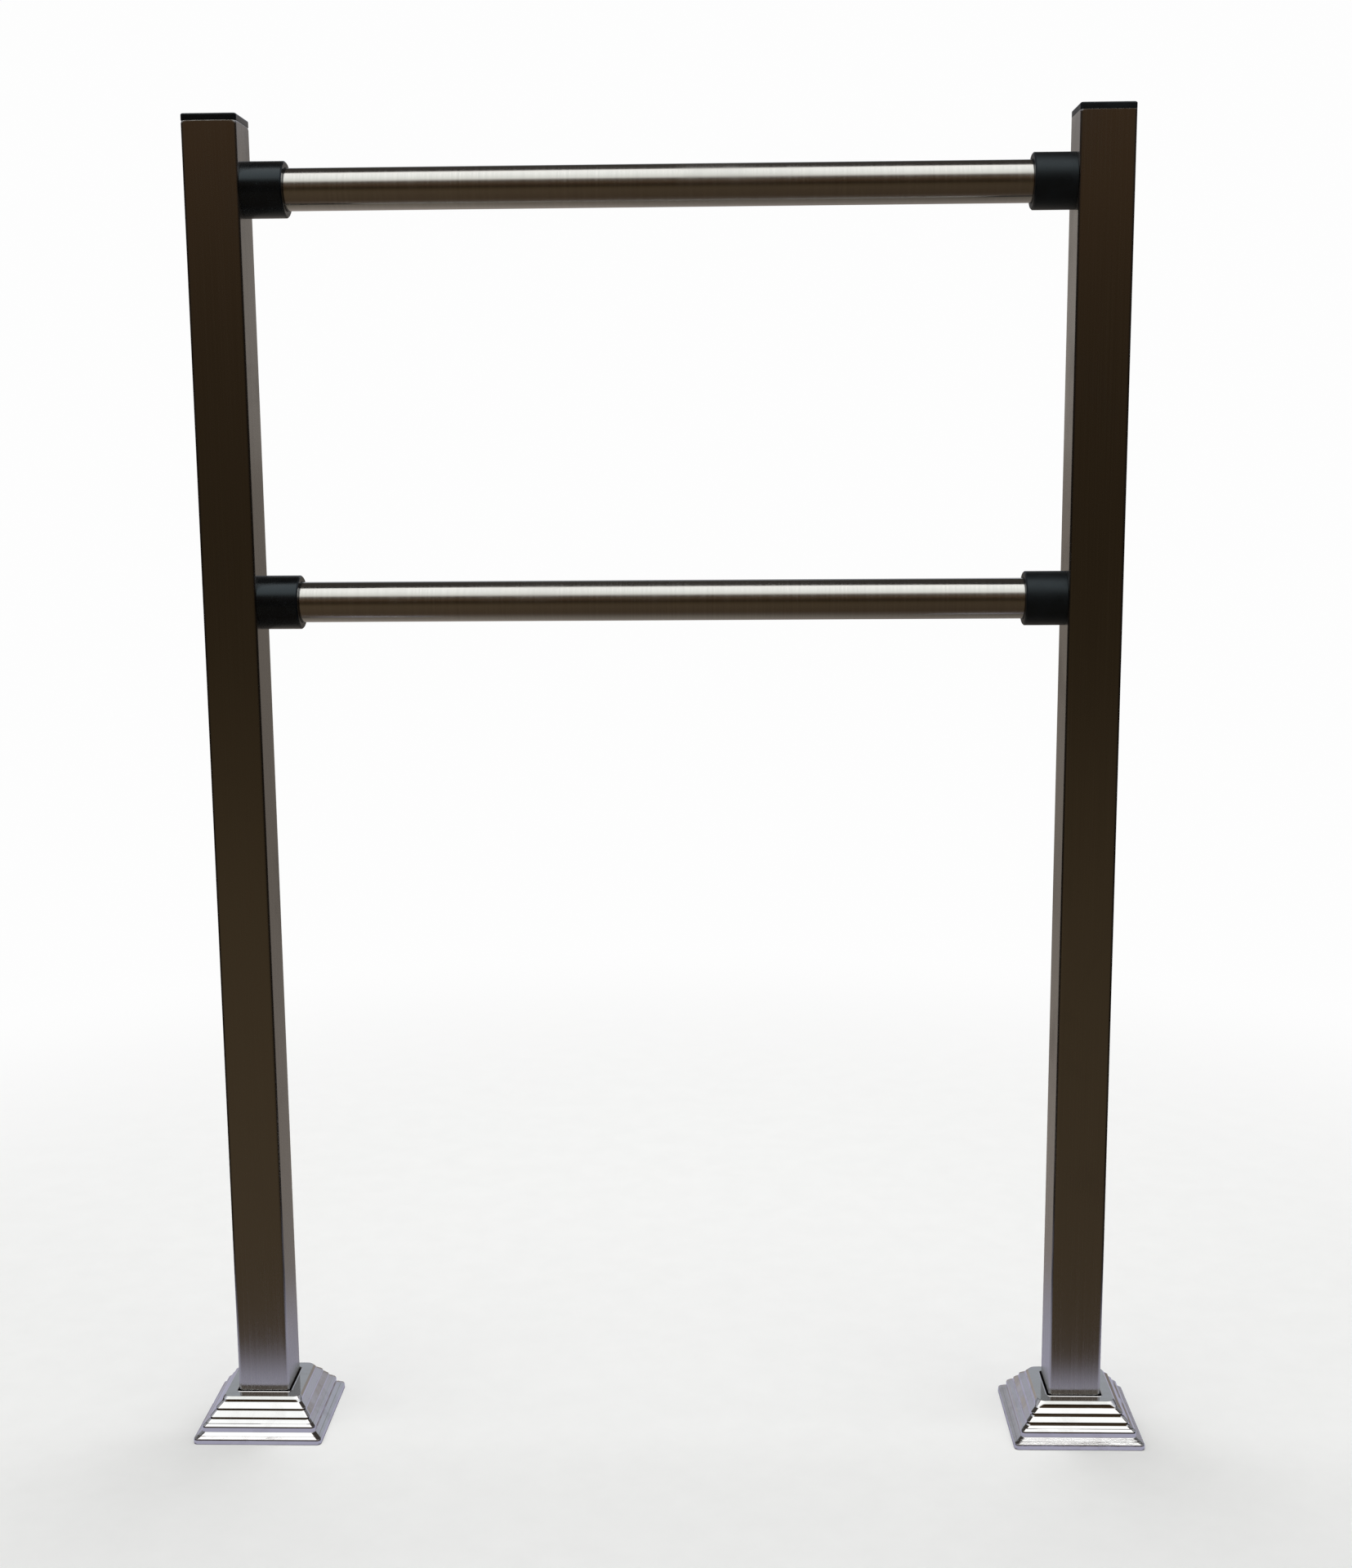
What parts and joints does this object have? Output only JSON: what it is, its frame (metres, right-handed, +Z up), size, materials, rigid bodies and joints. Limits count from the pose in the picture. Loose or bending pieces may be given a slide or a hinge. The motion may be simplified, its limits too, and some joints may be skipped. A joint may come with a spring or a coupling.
{
  "type": "pool handrail",
  "caption": "Floor-standing handrail frame: square steel posts joined by round rails in black sockets, with stepped covers over the base plates.",
  "frame": {"origin": "on the floor, midway between the two posts", "axes": "+X along the rails from the left post to the right post, +Y away from the side that faces the viewer, +Z up"},
  "size_m": [0.737, 0.1, 1],
  "materials": {
    "post_steel": "satin, brushed lengthways",
    "rail_steel": "bright, fine brushing along the tube",
    "cover_chrome": "polished",
    "black_plastic": "satin, moulded",
    "plate_steel": "plain mill finish",
    "weld_steel": "as welded",
    "zinc_steel": "zinc plated"
  },
  "bodies": {
    "frame": {"left_post": "post_steel", "right_post": "post_steel", "left_post_cap": "black_plastic", "right_post_cap": "black_plastic", "upper_rail": "rail_steel", "lower_rail": "rail_steel", "upper_left_socket": "black_plastic", "upper_right_socket": "black_plastic", "lower_left_socket": "black_plastic", "lower_right_socket": "black_plastic", "upper_left_socket_screw_top": "zinc_steel", "upper_left_socket_screw_bottom": "zinc_steel", "upper_right_socket_screw_top": "zinc_steel", "upper_right_socket_screw_bottom": "zinc_steel", "lower_left_socket_screw_top": "zinc_steel", "lower_left_socket_screw_bottom": "zinc_steel", "lower_right_socket_screw_top": "zinc_steel", "lower_right_socket_screw_bottom": "zinc_steel", "left_base_plate": "plate_steel", "right_base_plate": "plate_steel", "left_foot_weld": "weld_steel", "right_foot_weld": "weld_steel"},
    "left_cover": {"left_base_cover": "cover_chrome"},
    "right_cover": {"right_base_cover": "cover_chrome"}
  },
  "joints": [
    {"name": "left_cover_slide", "type": "slide", "parent": "frame", "child": "left_cover", "axis": [0, 0, 1], "range_m": [0, 0.598]},
    {"name": "right_cover_slide", "type": "slide", "parent": "frame", "child": "right_cover", "axis": [0, 0, 1], "range_m": [0, 0.598]}
  ]
}
